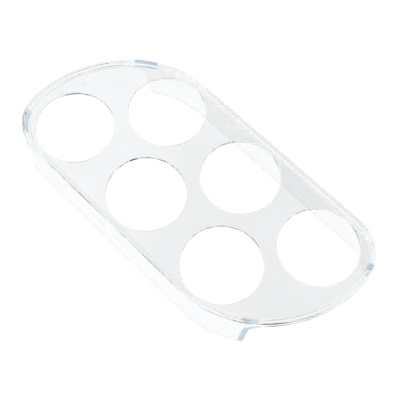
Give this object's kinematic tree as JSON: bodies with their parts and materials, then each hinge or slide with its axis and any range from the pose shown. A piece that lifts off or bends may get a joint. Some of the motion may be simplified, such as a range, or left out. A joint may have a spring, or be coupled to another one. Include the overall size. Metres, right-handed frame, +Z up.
{
  "type": "egg tray",
  "caption": "Clear moulded egg tray: staggered rows of round egg holes in a flat deck, with a low rim, full-height side skirts and shallow lips across the ends.",
  "frame": {"origin": "centre of the plan, on the plane that the tray stands on", "axes": "+X along the rows of eggs, towards the end where the rear row reaches further; +Y across the rows, from the front skirt to the rear skirt; +Z up"},
  "size_m": [0.1954, 0.0924, 0.031],
  "materials": {
    "clear_polystyrene": "polished, see-through, with a faint blue tint at its edges"
  },
  "bodies": {
    "root": {"egg_deck": "clear_polystyrene", "front_skirt": "clear_polystyrene", "rear_skirt": "clear_polystyrene", "left_end_lip": "clear_polystyrene", "right_end_lip": "clear_polystyrene"}
  },
  "joints": []
}
